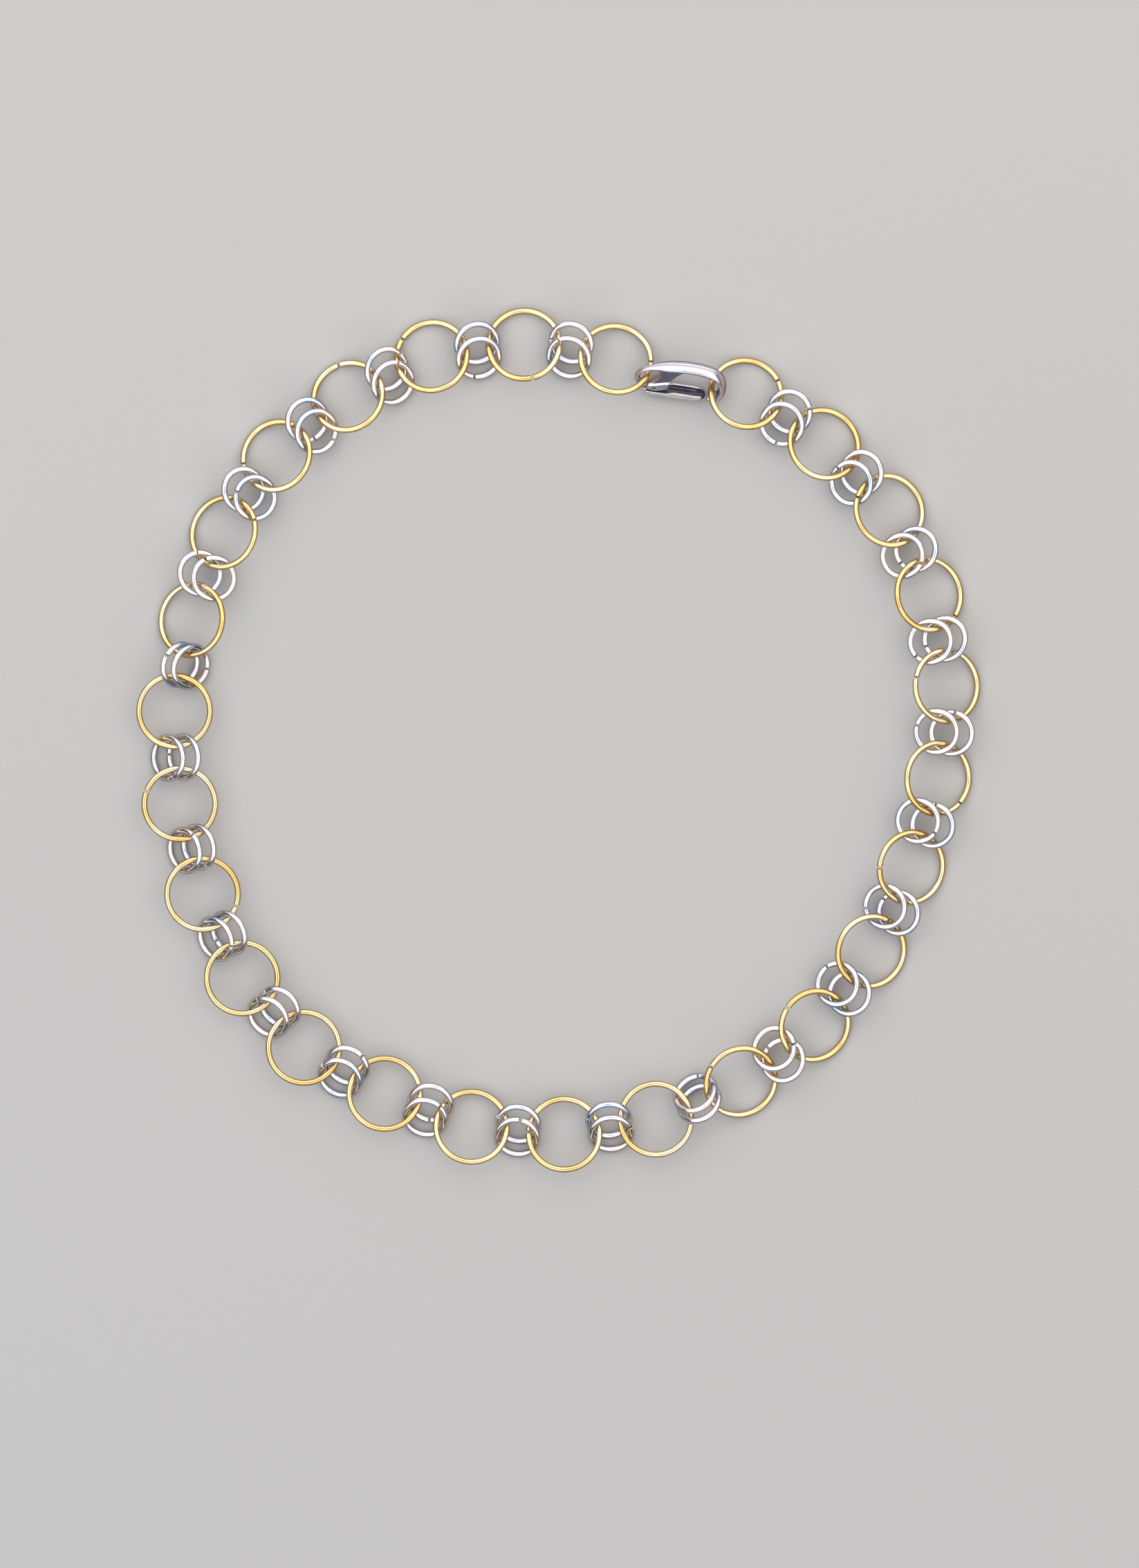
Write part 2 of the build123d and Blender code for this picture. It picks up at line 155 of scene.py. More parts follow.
@dataclass(frozen=True)
class MetalFinish:
    """A plated metal that was polished before it was plated.

    Attributes:
        name: Name of the material.
        main: Colour of most of the surface.
        warm: Colour of its warmer patches.
        cool: Colour of its cooler patches.
        patch: Size of a patch, in metres.
        roughness: Lowest and highest roughness.
        smudge: Size of a smudge that dulls the shine, in metres.
        grain: Spacing of its finest marks, in metres.
        grain_length: Their length along the wire, or the same as their spacing on a casting.
        grain_depth: Their depth, in metres.
        ripple: Spacing of the slow waves that polishing leaves, in metres.
        ripple_depth: Their depth, in metres.
        rim: Tint of the shine where the surface is seen along its face.
        follows_wire: Whether the marks run along a wire.
        painted_shade: Colour of the painted shade in the part's hollow, if it has one.
    """

    name: str
    main: str
    warm: str
    cool: str
    patch: float
    roughness: tuple[float, float]
    smudge: float
    grain: float
    grain_length: float
    grain_depth: float
    ripple: float
    ripple_depth: float
    rim: str
    follows_wire: bool
    painted_shade: str | None = None

    def material(self) -> bpy.types.Material:
        """Builds the material.

        Returns:
            The material with its nodes.
        """
        made = bpy.data.materials.new(self.name)
        made.use_nodes = True
        tree = made.node_tree
        tree.nodes.clear()
        place = add_node(tree, "ShaderNodeTexCoord", {}, {}).outputs["Object"]
        moved = add_node(tree, "ShaderNodeMapping", {}, {"Vector": place, "Location": COOL_SHIFT})
        warmed = self.patched(tree, place, linear(self.main), self.warm, WARM_RANGE)
        colour = self.patched(tree, moved.outputs["Vector"], warmed, self.cool, COOL_RANGE)
        # Painted shade: a darker colour is mixed in where the mesh's attribute marks shade in the part's
        # hollows
        if self.painted_shade:
            painted_shade_share = add_node(tree, "ShaderNodeAttribute", {"attribute_name": PAINTED_SHADE}, {})
            colour = add_node(tree, "ShaderNodeMix", {"data_type": "RGBA"}, {
                "Factor": painted_shade_share.outputs["Fac"], MIX_UNDER: colour, MIX_OVER: linear(self.painted_shade),
            }).outputs[MIX_RESULT]
        smudges = add_node(tree, "ShaderNodeTexNoise", {}, {
            "Vector": place, "Scale": 1 / self.smudge, "Detail": SMUDGE_DETAIL,
        })
        roughness = add_node(tree, "ShaderNodeMapRange", {"interpolation_type": "SMOOTHSTEP"}, {
            "Value": smudges.outputs["Fac"], "From Min": SMUDGE_RANGE[0], "From Max": SMUDGE_RANGE[1],
            "To Min": self.roughness[0], "To Max": self.roughness[1],
        })
        shader = add_node(tree, "ShaderNodeBsdfPrincipled", {}, {
            "Base Color": colour, "Metallic": 1.0, "Roughness": roughness.outputs["Result"],
            "Specular Tint": linear(self.rim), "Normal": self.relief(tree, place),
        })
        add_node(tree, "ShaderNodeOutputMaterial", {}, {"Surface": shader.outputs["BSDF"]})
        made.diffuse_color = linear(self.main)
        return made

    def patched(
        self, tree: bpy.types.NodeTree, place: bpy.types.NodeSocket, under: Any, tint: str,
        reach: tuple[float, float],
    ) -> bpy.types.NodeSocket:
        """Lays soft patches of one tint over a colour.

        Args:
            tree: The material's tree.
            place: Socket with the coordinates.
            under: The colour that they lie on, linear or a socket.
            tint: Hex code of the patches.
            reach: Values of the noise at which a patch begins and is full.

        Returns:
            The patched colour.
        """
        cloud = add_node(tree, "ShaderNodeTexNoise", {}, {
            "Vector": place, "Scale": 1 / self.patch, "Detail": PATCH_DETAIL,
        })
        share = add_node(tree, "ShaderNodeMapRange", {"interpolation_type": "SMOOTHSTEP"}, {
            "Value": cloud.outputs["Fac"], "From Min": reach[0], "From Max": reach[1],
        })
        mixed = add_node(tree, "ShaderNodeMix", {"data_type": "RGBA"}, {
            "Factor": share.outputs["Result"], MIX_UNDER: under, MIX_OVER: linear(tint),
        })
        return mixed.outputs[MIX_RESULT]

    def relief(self, tree: bpy.types.NodeTree, place: bpy.types.NodeSocket) -> bpy.types.NodeSocket:
        """Polishing waves and fine marks.

        Args:
            tree: The material's tree.
            place: Socket with the object coordinates.

        Returns:
            The bumped normal.
        """
        marks = place
        if self.follows_wire:
            wire_map = add_node(tree, "ShaderNodeAttribute", {"attribute_name": WIRE_MAP}, {})
            marks = wire_map.outputs["Vector"]
        stretched = add_node(tree, "ShaderNodeMapping", {}, {
            "Vector": marks, "Scale": (1.0, 1.0, self.grain / self.grain_length),
        })
        grain = add_node(tree, "ShaderNodeTexNoise", {}, {
            "Vector": stretched.outputs["Vector"], "Scale": 1 / self.grain, "Detail": GRAIN_DETAIL,
        })
        waves = add_node(tree, "ShaderNodeTexNoise", {}, {
            "Vector": place, "Scale": 1 / self.ripple, "Detail": RIPPLE_DETAIL,
        })
        fine = add_node(tree, "ShaderNodeBump", {}, {
            "Height": grain.outputs["Fac"], "Strength": 1.0, "Distance": self.grain_depth,
        })
        slow = add_node(tree, "ShaderNodeBump", {}, {
            "Height": waves.outputs["Fac"], "Strength": 1.0, "Distance": self.ripple_depth,
            "Normal": fine.outputs["Normal"],
        })
        return slow.outputs["Normal"]


# Gold-plated brass wire, drawn and then wound and sawn: pale champagne where it shines, amber where it
# is turned away, with faint lines along the wire. The lines are drawn as coarse as they need to show.
GOLD_WIRE = MetalFinish(
    name="gold_plated_wire", main="#E6CB95", warm="#DDB673", cool="#EAD8AE", patch=9 * MM,
    roughness=(0.14, 0.22), smudge=2.2 * MM, grain=0.1 * MM, grain_length=2.5 * MM,
    grain_depth=0.0015 * MM, ripple=3.0 * MM, ripple_depth=0.006 * MM, rim="#4A3418", follows_wire=True,
)

# Silver-plated wire of the same gauge: near white with a faint lilac and blue cast and a clearer shine
SILVER_WIRE = MetalFinish(
    name="silver_plated_wire", main="#E2E0E2", warm="#ECDED3", cool="#BECAE2", patch=5 * MM,
    roughness=(0.13, 0.21), smudge=2.0 * MM, grain=0.1 * MM, grain_length=2.5 * MM,
    grain_depth=0.001 * MM, ripple=3.0 * MM, ripple_depth=0.006 * MM, rim="#34343C", follows_wire=True,
)

# Cast zinc alloy, tumbled and plated like rhodium: a soft shine, lilac grey with steel and rose patches,
# and painted shade of blue grey on the web and on the flanks of the back
CAST_CLASP = MetalFinish(
    name="plated_casting", main="#DED9E4", warm="#E0D6CF", cool="#CDD1DE", patch=4.5 * MM,
    roughness=(0.24, 0.34), smudge=1.2 * MM, grain=0.08 * MM, grain_length=0.08 * MM,
    grain_depth=0.0006 * MM, ripple=2.5 * MM, ripple_depth=0.012 * MM, rim="#34343C", follows_wire=False,
    painted_shade="#7C8093",
)

# The lever is pressed from plated sheet, bright outside, with painted shade of dark grey in its trough
PRESSED_LEVER = MetalFinish(
    name="plated_pressing", main="#F0EEF3", warm="#F0E6E0", cool="#DCE2EA", patch=3 * MM,
    roughness=(0.2, 0.3), smudge=1.0 * MM, grain=0.08 * MM, grain_length=0.08 * MM,
    grain_depth=0.0006 * MM, ripple=2.0 * MM, ripple_depth=0.008 * MM, rim="#34343C", follows_wire=False,
    painted_shade="#55545A",
)

# Steel rivet, bare and a little dull, with peened heads
PEENED_RIVET = MetalFinish(
    name="peened_rivet", main="#8B898E", warm="#94897F", cool="#7A808A", patch=1 * MM,
    roughness=(0.26, 0.38), smudge=0.4 * MM, grain=0.06 * MM, grain_length=0.06 * MM,
    grain_depth=0.003 * MM, ripple=0.3 * MM, ripple_depth=0.01 * MM, rim="#34343C", follows_wire=False,
)


@dataclass(frozen=True)
class FloorFinish:
    """Smooth pale board under the necklace.

    Attributes:
        name: Name of the material.
        colour: Colour of the board.
        roughness: Roughness of the board.
        shine: Level of its specular shine, where 0.5 is the shader's own.
    """

    name: str = "pale_board"
    colour: str = "#A5A4A1"
    roughness: float = 0.7
    shine: float = 0.2

    def material(self) -> bpy.types.Material:
        """Builds the material.

        Returns:
            The material with its nodes.
        """
        made = bpy.data.materials.new(self.name)
        made.use_nodes = True
        tree = made.node_tree
        tree.nodes.clear()
        shader = add_node(tree, "ShaderNodeBsdfPrincipled", {}, {
            "Base Color": linear(self.colour), "Roughness": self.roughness,
            "Specular IOR Level": self.shine,
        })
        add_node(tree, "ShaderNodeOutputMaterial", {}, {"Surface": shader.outputs["BSDF"]})
        return made


def islands(node: str) -> list[tuple[np.ndarray, np.ndarray]]:
    """Splits a CAD node into its separate solids.

    Args:
        node: Name of the node.

    Returns:
        For each solid, all its vertices and those on its sharp edges, as rows of x, y and z.
    """
    mesh = bmesh.new()
    mesh.from_mesh(frame["nodes"][node].data)
    bmesh.ops.remove_doubles(mesh, verts=mesh.verts, dist=WELD)
    seen: set[int] = set()
    found = []
    mesh.verts.ensure_lookup_table()
    for start in mesh.verts:
        if start.index in seen:
            continue
        seen.add(start.index)
        group, sharp, reached = [], [], [start]
        while reached:
            vertex = reached.pop()
            group.append(tuple(vertex.co))
            if any(link.calc_face_angle(0.0) > SHARP_EDGE for link in vertex.link_edges):
                sharp.append(tuple(vertex.co))
            for link in vertex.link_edges:
                other = link.other_vert(vertex)
                if other.index not in seen:
                    seen.add(other.index)
                    reached.append(other)
        found.append((np.array(group), np.array(sharp)))
    mesh.free()
    return found


@dataclass(frozen=True)
class RingPlace:
    """Where one open ring lies.

    Attributes:
        centre: Its centre.
        facing: Direction from the centre to the saw cut.
        normal: Direction square to the ring.
    """

    centre: Vector
    facing: Vector
    normal: Vector

    @classmethod
    def of(cls, points: np.ndarray, ends: np.ndarray) -> "RingPlace":
        """Finds the place of a ring from its solid.

        Args:
            points: Vertices of the solid.
            ends: Those on the rims of its two sawn ends.

        Returns:
            The ring's place.
        """
        middle = points.mean(axis=0)
        # The points spread least along the normal, which is taken upwards
        _, axes = np.linalg.eigh(np.cov((points - middle).T))
        normal = axes[:, 0] * (1 if axes[2, 0] > 0 else -1)
        across = axes[:, 2]
        beside = np.cross(normal, across)
        flat = np.stack([(points - middle) @ across, (points - middle) @ beside], axis=1)
        # The saw cut pulls their mean off the centre, so a circle is fitted by least squares
        system = np.column_stack([2 * flat, np.ones(len(flat))])
        fit = np.linalg.lstsq(system, (flat ** 2).sum(axis=1), rcond=None)[0]
        centre = middle + across * fit[0] + beside * fit[1]
        facing = ends.mean(axis=0) - centre
        facing -= normal * (facing @ normal)
        return cls(Vector(centre), Vector(facing).normalized(), Vector(normal))

    def turn(self) -> tuple[float, float, float]:
        """Euler angles that take a ring in the XY plane, cut towards +X, to this place."""
        rows = (self.facing, self.normal.cross(self.facing), self.normal)
        return tuple(Matrix(rows).transposed().to_euler())


@dataclass
class JumpRings:
    """Open rings of round wire, wound on a mandrel and sawn off.

    Attributes:
        bore: Inside diameter.
        wire: Wire diameter.
        saw_cut: Width of the cut.
        rise: How far the two ends lie apart square to the ring, as the coil left them.
        burr: Length of the worn edge of each sawn end.
        end_width: Share of the wire's width that is left at the face of a sawn end.
        steps: Sections along the ring.
        sides: Sides of the wire's section.
        crease_angle: Bend past which an edge is shaded sharp.
    """

    bore: float
    wire: float = 1.02 * MM
    saw_cut: float = 0.42 * MM
    rise: float = 0.07 * MM
    burr: float = 0.05 * MM
    end_width: float = 0.9
    steps: int = 100
    sides: int = 18
    crease_angle: float = math.radians(35)

    def inputs(self) -> dict[str, tuple[str, float]]:
        """Names and works out the sizes that the tree takes.

        Returns:
            For each size, the type of its socket and its value.
        """
        radius = (self.bore + self.wire) / 2
        return {
            "Ring Radius": ("NodeSocketFloat", radius),
            "Wire Radius": ("NodeSocketFloat", self.wire / 2),
            "Half Cut": ("NodeSocketFloat", self.saw_cut / 2 / radius),
            "Rise": ("NodeSocketFloat", self.rise),
            "Burr": ("NodeSocketFloat", self.burr / radius),
            "End Width": ("NodeSocketFloat", self.end_width),
            "Steps": ("NodeSocketInt", self.steps),
            "Sides": ("NodeSocketInt", self.sides),
        }

    def tree(self) -> bpy.types.NodeTree:
        """Builds the tree that sweeps one ring and sets it on every point.

        Returns:
            The Geometry Nodes tree.
        """
        made = bpy.data.node_groups.new("jump_rings", "GeometryNodeTree")
        made.interface.new_socket("Points", in_out="INPUT", socket_type="NodeSocketGeometry")
        for name, (kind, _) in self.inputs().items():
            made.interface.new_socket(name, in_out="INPUT", socket_type=kind)
        made.interface.new_socket("Metal", in_out="INPUT", socket_type="NodeSocketMaterial")
        made.interface.new_socket("Rings", in_out="OUTPUT", socket_type="NodeSocketGeometry")
        sizes = made.nodes.new("NodeGroupInput").outputs
        ring = self.swept(made, sizes, self.centreline(made, sizes))
        turn = add_node(made, "GeometryNodeInputNamedAttribute", {"data_type": "FLOAT_VECTOR"}, {
            "Name": TURN,
        })
        rotation = add_node(made, "FunctionNodeEulerToRotation", {}, {
            "Euler": turn.outputs["Attribute"],
        })
        placed = add_node(made, "GeometryNodeInstanceOnPoints", {}, {
            "Points": sizes["Points"], "Instance": ring, "Rotation": rotation.outputs["Rotation"],
        })
        real = add_node(made, "GeometryNodeRealizeInstances", {}, {
            "Geometry": placed.outputs["Instances"],
        })
        metal = add_node(made, "GeometryNodeSetMaterial", {}, {
            "Geometry": real.outputs["Geometry"], "Material": sizes["Metal"],
        })
        add_node(made, "NodeGroupOutput", {}, {"Rings": metal.outputs["Geometry"]})
        return made

    def centreline(self, tree: bpy.types.NodeTree, sizes: Any) -> bpy.types.NodeSocket:
        """The wire's middle line: an open circle with a slight rise and a short last step at each end.

        Args:
            tree: The tree that gets the nodes.
            sizes: Sockets of the tree's inputs.

        Returns:
            The curve's socket, with its radius set.
        """
        line = add_node(tree, "GeometryNodeCurvePrimitiveLine", {}, {"End": (1.0, 0.0, 0.0)})
        steps = add_node(tree, "GeometryNodeResampleCurve", {"mode": "COUNT"}, {
            "Curve": line.outputs["Curve"], "Count": sizes["Steps"],
        })
        index = add_node(tree, "GeometryNodeInputIndex", {}, {})
        either = add_node(tree, "GeometryNodeCurveEndpointSelection", {}, {
            "Start Size": 1, "End Size": 1,
        })
        first = add_node(tree, "GeometryNodeCurveEndpointSelection", {}, {
            "Start Size": 1, "End Size": 0,
        })
        before_last = add_node(tree, "ShaderNodeMath", {"operation": "SUBTRACT"}, {
            0: sizes["Steps"], 1: LAST_INNER,
        })
        start = add_node(tree, "ShaderNodeMath", {"operation": "ADD"}, {
            0: sizes["Half Cut"], 1: sizes["Burr"],
        })
        finish = add_node(tree, "ShaderNodeMath", {"operation": "SUBTRACT"}, {
            0: math.tau, 1: start.outputs[0],
        })
        spread = add_node(tree, "ShaderNodeMapRange", {}, {
            "Value": index.outputs["Index"], "From Min": FIRST_INNER, "From Max": before_last.outputs[0],
            "To Min": start.outputs[0], "To Max": finish.outputs[0],
        })
        # One more step of the burr's length past each end: backwards at the first point, on at the last
        way = add_node(tree, "ShaderNodeMath", {"operation": "MULTIPLY_ADD"}, {
            0: first.outputs["Selection"], 1: BACKWARDS, 2: either.outputs["Selection"],
        })
        angle = add_node(tree, "ShaderNodeMath", {"operation": "MULTIPLY_ADD"}, {
            0: way.outputs[0], 1: sizes["Burr"], 2: spread.outputs["Result"],
        }).outputs[0]
        along = add_node(tree, "ShaderNodeMath", {"operation": "MULTIPLY"}, {
            0: angle, 1: sizes["Ring Radius"],
        })
        named = add_node(tree, "GeometryNodeStoreNamedAttribute", {
            "data_type": "FLOAT", "domain": "POINT",
        }, {"Geometry": steps.outputs["Curve"], "Name": ALONG, "Value": along.outputs[0]})
        lift = add_node(tree, "ShaderNodeMapRange", {}, {
            "Value": angle, "From Min": 0.0, "From Max": math.tau,
            "To Min": -HALF_RISE, "To Max": HALF_RISE,
        })
        height = add_node(tree, "ShaderNodeMath", {"operation": "MULTIPLY"}, {
            0: lift.outputs["Result"], 1: sizes["Rise"],
        })
        outwards = add_node(tree, "ShaderNodeCombineXYZ", {}, {
            "X": sizes["Ring Radius"], "Z": height.outputs[0],
        })
        place = add_node(tree, "ShaderNodeVectorRotate", {"rotation_type": "Z_AXIS"}, {
            "Vector": outwards.outputs["Vector"], "Angle": angle,
        })
        set_place = add_node(tree, "GeometryNodeSetPosition", {}, {
            "Geometry": named.outputs["Geometry"], "Position": place.outputs["Vector"],
        })
        worn = add_node(tree, "ShaderNodeMapRange", {}, {
            "Value": either.outputs["Selection"], "To Min": 1.0, "To Max": sizes["End Width"],
        })
        thickness = add_node(tree, "GeometryNodeSetCurveRadius", {}, {
            "Curve": set_place.outputs["Geometry"], "Radius": worn.outputs["Result"],
        })
        return thickness.outputs["Curve"]

    def swept(
        self, tree: bpy.types.NodeTree, sizes: Any, centreline: bpy.types.NodeSocket
    ) -> bpy.types.NodeSocket:
        """One ring of wire round its middle line, with flat sawn ends and the straight wire's map.

        Args:
            tree: The tree that gets the nodes.
            sizes: Sockets of the tree's inputs.
            centreline: The wire's middle line.

        Returns:
            The ring's socket.
        """
        circle = add_node(tree, "GeometryNodeCurvePrimitiveCircle", {}, {
            "Resolution": sizes["Sides"], "Radius": sizes["Wire Radius"],
        })
        section = add_node(tree, "GeometryNodeInputPosition", {}, {})
        mapped = add_node(tree, "GeometryNodeStoreNamedAttribute", {
            "data_type": "FLOAT_VECTOR", "domain": "POINT",
        }, {"Geometry": circle.outputs["Curve"], "Name": SECTION, "Value": section.outputs["Position"]})
        radius = add_node(tree, "GeometryNodeInputRadius", {}, {})
        wire = add_node(tree, "GeometryNodeCurveToMesh", {}, {
            "Curve": centreline, "Profile Curve": mapped.outputs["Geometry"],
            "Scale": radius.outputs["Radius"], "Fill Caps": True,
        })
        across = add_node(tree, "GeometryNodeInputNamedAttribute", {"data_type": "FLOAT_VECTOR"}, {
            "Name": SECTION,
        })
        along = add_node(tree, "GeometryNodeInputNamedAttribute", {"data_type": "FLOAT"}, {
            "Name": ALONG,
        })
        parts = add_node(tree, "ShaderNodeSeparateXYZ", {}, {"Vector": across.outputs["Attribute"]})
        straight = add_node(tree, "ShaderNodeCombineXYZ", {}, {
            "X": parts.outputs["X"], "Y": parts.outputs["Y"], "Z": along.outputs["Attribute"],
        })
        stored = add_node(tree, "GeometryNodeStoreNamedAttribute", {
            "data_type": "FLOAT_VECTOR", "domain": "POINT",
        }, {"Geometry": wire.outputs["Mesh"], "Name": WIRE_MAP, "Value": straight.outputs["Vector"]})
        bend = add_node(tree, "GeometryNodeInputMeshEdgeAngle", {}, {})
        sharp = add_node(tree, "ShaderNodeMath", {"operation": "GREATER_THAN"}, {
            0: bend.outputs["Unsigned Angle"], 1: self.crease_angle,
        })
        smooth = add_node(tree, "GeometryNodeSetShadeSmooth", {"domain": "FACE"}, {
            "Geometry": stored.outputs["Geometry"], "Shade Smooth": True,
        })
        creased = add_node(tree, "GeometryNodeSetShadeSmooth", {"domain": "EDGE"}, {
            "Geometry": smooth.outputs["Geometry"], "Selection": sharp.outputs[0], "Shade Smooth": False,
        })
        return creased.outputs["Geometry"]

    def piece(
        self, name: str, places: list[RingPlace], tree: bpy.types.NodeTree, metal: bpy.types.Material
    ) -> bpy.types.Object:
        """Bakes rings at their places into one plain mesh.

        Args:
            name: Name of the piece.
            places: Where its rings lie.
            tree: The tree that sweeps them.
            metal: The rings' material.

        Returns:
            The piece, whose place is in its mesh.
        """
        points = bpy.data.meshes.new(name + "_points")
        points.from_pydata([place.centre for place in places], [], [])
        turns = points.attributes.new(TURN, "FLOAT_VECTOR", "POINT")
        turns.data.foreach_set("vector", [angle for place in places for angle in place.turn()])
        made = bpy.data.objects.new(name, points)
        bpy.context.scene.collection.objects.link(made)
        sweep = made.modifiers.new("rings", "NODES")
        sweep.node_group = tree
        values = {key: value for key, (_, value) in self.inputs().items()} | {"Metal": metal}
        for socket in tree.interface.items_tree:
            if socket.name in values and socket.in_out == "INPUT":
                sweep[socket.identifier] = values[socket.name]
        graph = bpy.context.evaluated_depsgraph_get()
        baked = bpy.data.meshes.new_from_object(made.evaluated_get(graph))
        made.modifiers.remove(sweep)
        made.data = baked
        baked.name = name
        bpy.data.meshes.remove(points)
        return made


@dataclass
class Chain:
    """Every jump ring of the necklace.

    Attributes:
        large: Sizes of the large rings.
        small: Sizes of the small rings.
        gold: Finish of the large rings.
        silver: Finish of the small rings.
    """

    large: JumpRings = field(default_factory=lambda: JumpRings(bore=11.1 * MM, steps=120))
    small: JumpRings = field(default_factory=lambda: JumpRings(bore=6.06 * MM, steps=84))
    gold: MetalFinish = GOLD_WIRE
    silver: MetalFinish = SILVER_WIRE

    def build(self) -> None:
        """Replaces each CAD node of rings by swept wire."""
        large, gold = self.large.tree(), self.gold.material()
        small, silver = self.small.tree(), self.silver.material()
        for node in sorted(frame["nodes"]):
            if node.startswith("gold_ring"):
                self.dress(node, self.large, large, gold)
            elif node.startswith("silver_rings"):
                self.dress(node, self.small, small, silver)

    def dress(
        self, node: str, rings: JumpRings, tree: bpy.types.NodeTree, metal: bpy.types.Material,
    ) -> None:
        """Replaces one CAD node by a piece of swept wire.

        Args:
            node: Name of the node.
            rings: Sizes of its rings.
            tree: Tree that sweeps them.
            metal: Their material.
        """
        places = [RingPlace.of(points, ends) for points, ends in islands(node)]
        piece = rings.piece(node + "_wire", places, tree, metal)
        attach(piece, NECKLACE)
        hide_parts(node)
        LOG.info("%s: %d rings, %d faces", piece.name, len(places), len(piece.data.polygons))


@dataclass(frozen=True)
class ClaspPlane:
    """The clasp's own plane: X from its eye to its hook, Y from its lever to its back, Z its thickness.

    Attributes:
        matrix: From the clasp's plane to the frame, with its origin on the pin.
    """

    matrix: Matrix

    @classmethod
    def of(cls, joint: dict[str, Any]) -> "ClaspPlane":
        """Takes the plane from the lever's hinge, whose axis is square to it.

        Args:
            joint: The hinge as the record states it.

        Returns:
            The plane.
        """
        thickness = Vector(joint["axis"]).normalized()
        along = Vector((0.0, 0.0, 1.0)).cross(thickness).normalized()
        turned = Matrix((along, thickness.cross(along), thickness)).transposed().to_4x4()
        return cls(Matrix.Translation(Vector(joint["pos_m"])) @ turned)


@dataclass
class CastPart:
    """A small metal part with the soft edges that casting and plating leave.

    Attributes:
        node: CAD node that it replaces.
        body: Body that it rides on.
        finish: Its finish.
        slot: The record's slot for it; not used.
        voxel: Size of the grid that its surface is taken from.
        passes: Smoothing passes.
        pull: Share of each smoothing step.
        polish: Passes that even the shading.
    """

    node: str
    body: str
    finish: MetalFinish
    slot: Slot
    voxel: float = 0.055 * MM
    passes: int = 5
    pull: float = 0.5
    polish: int = 3

    def build(self, plane: ClaspPlane) -> None:
        """Builds the piece and takes the CAD node's place.

        Args:
            plane: The clasp's own plane.
        """
        made = self.softened(plane)
        self.carve(made.data)
        made.data.transform(Matrix.Scale(MM, MATRIX_SIZE))
        made.data.transform(plane.matrix)
        made.data.materials.clear()
        made.data.materials.append(self.finish.material())
        self.even_out(made.data)
        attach(made, self.body)
        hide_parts(self.node)
        LOG.info("%s: %d faces", made.name, len(made.data.polygons))

    def softened(self, plane: ClaspPlane) -> bpy.types.Object:
        """The CAD form with soft edges, in millimetres and in the clasp's own plane.

        Args:
            plane: The clasp's own plane.

        Returns:
            An object that holds the form.
        """
        source = bmesh.new()
        source.from_mesh(frame["nodes"][self.node].data)
        bmesh.ops.transform(source, matrix=plane.matrix.inverted(), verts=source.verts)
        bmesh.ops.scale(source, vec=(1 / MM,) * 3, verts=source.verts)
        bmesh.ops.remove_doubles(source, verts=source.verts, dist=WELD / MM)
        mesh = bpy.data.meshes.new(self.node + "_form")
        source.to_mesh(mesh)
        source.free()
        made = bpy.data.objects.new(self.node + "_metal", mesh)
        bpy.context.scene.collection.objects.link(made)
        grid = made.modifiers.new("grid", "REMESH")
        grid.mode = "VOXEL"
        grid.voxel_size = self.voxel / MM
        soften = made.modifiers.new("soften", "SMOOTH")
        soften.factor = self.pull
        soften.iterations = self.passes
        graph = bpy.context.evaluated_depsgraph_get()
        baked = bpy.data.meshes.new_from_object(made.evaluated_get(graph))
        made.modifiers.clear()
        made.data = baked
        bpy.data.meshes.remove(mesh)
        return made

    def carve(self, mesh: bpy.types.Mesh) -> None:
        """Leaves a plain part as it is.

        Args:
            mesh: The part's mesh in the clasp's own plane, in millimetres.
        """

    @staticmethod
    def surface(mesh: bpy.types.Mesh) -> tuple[np.ndarray, np.ndarray]:
        """Places and normals of a mesh's vertices.

        Args:
            mesh: The mesh.

        Returns:
            The places and the normals, as rows of x, y and z.
        """
        place = np.empty(len(mesh.vertices) * 3)
        facing = np.empty(len(mesh.vertices) * 3)
        mesh.vertices.foreach_get("co", place)
        mesh.vertex_normals.foreach_get("vector", facing)
        return place.reshape(-1, 3), facing.reshape(-1, 3)

    @staticmethod
    def paint_shade(mesh: bpy.types.Mesh, share: np.ndarray) -> None:
        """Stores how much painted shade each vertex gets.

        Args:
            mesh: The part's mesh.
            share: From nought to one for each vertex.
        """
        marks = mesh.attributes.new(PAINTED_SHADE, "FLOAT", "POINT")
        marks.data.foreach_set("value", share)

    def even_out(self, mesh: bpy.types.Mesh) -> None:
        """Evens the shading of neighbouring points, as tumbling does, without moving them.

        Args:
            mesh: The part's finished mesh.
        """
        mesh.shade_smooth()
        _, facing = self.surface(mesh)
        ends = np.empty(len(mesh.edges) * 2, dtype=int)
        mesh.edges.foreach_get("vertices", ends)
        first, second = ends.reshape(-1, 2).T
        for _ in range(self.polish):
            total = facing.copy()
            np.add.at(total, first, facing[second])
            np.add.at(total, second, facing[first])
            facing = total / np.linalg.norm(total, axis=1, keepdims=True)
        mesh.normals_split_custom_set_from_vertices(facing)


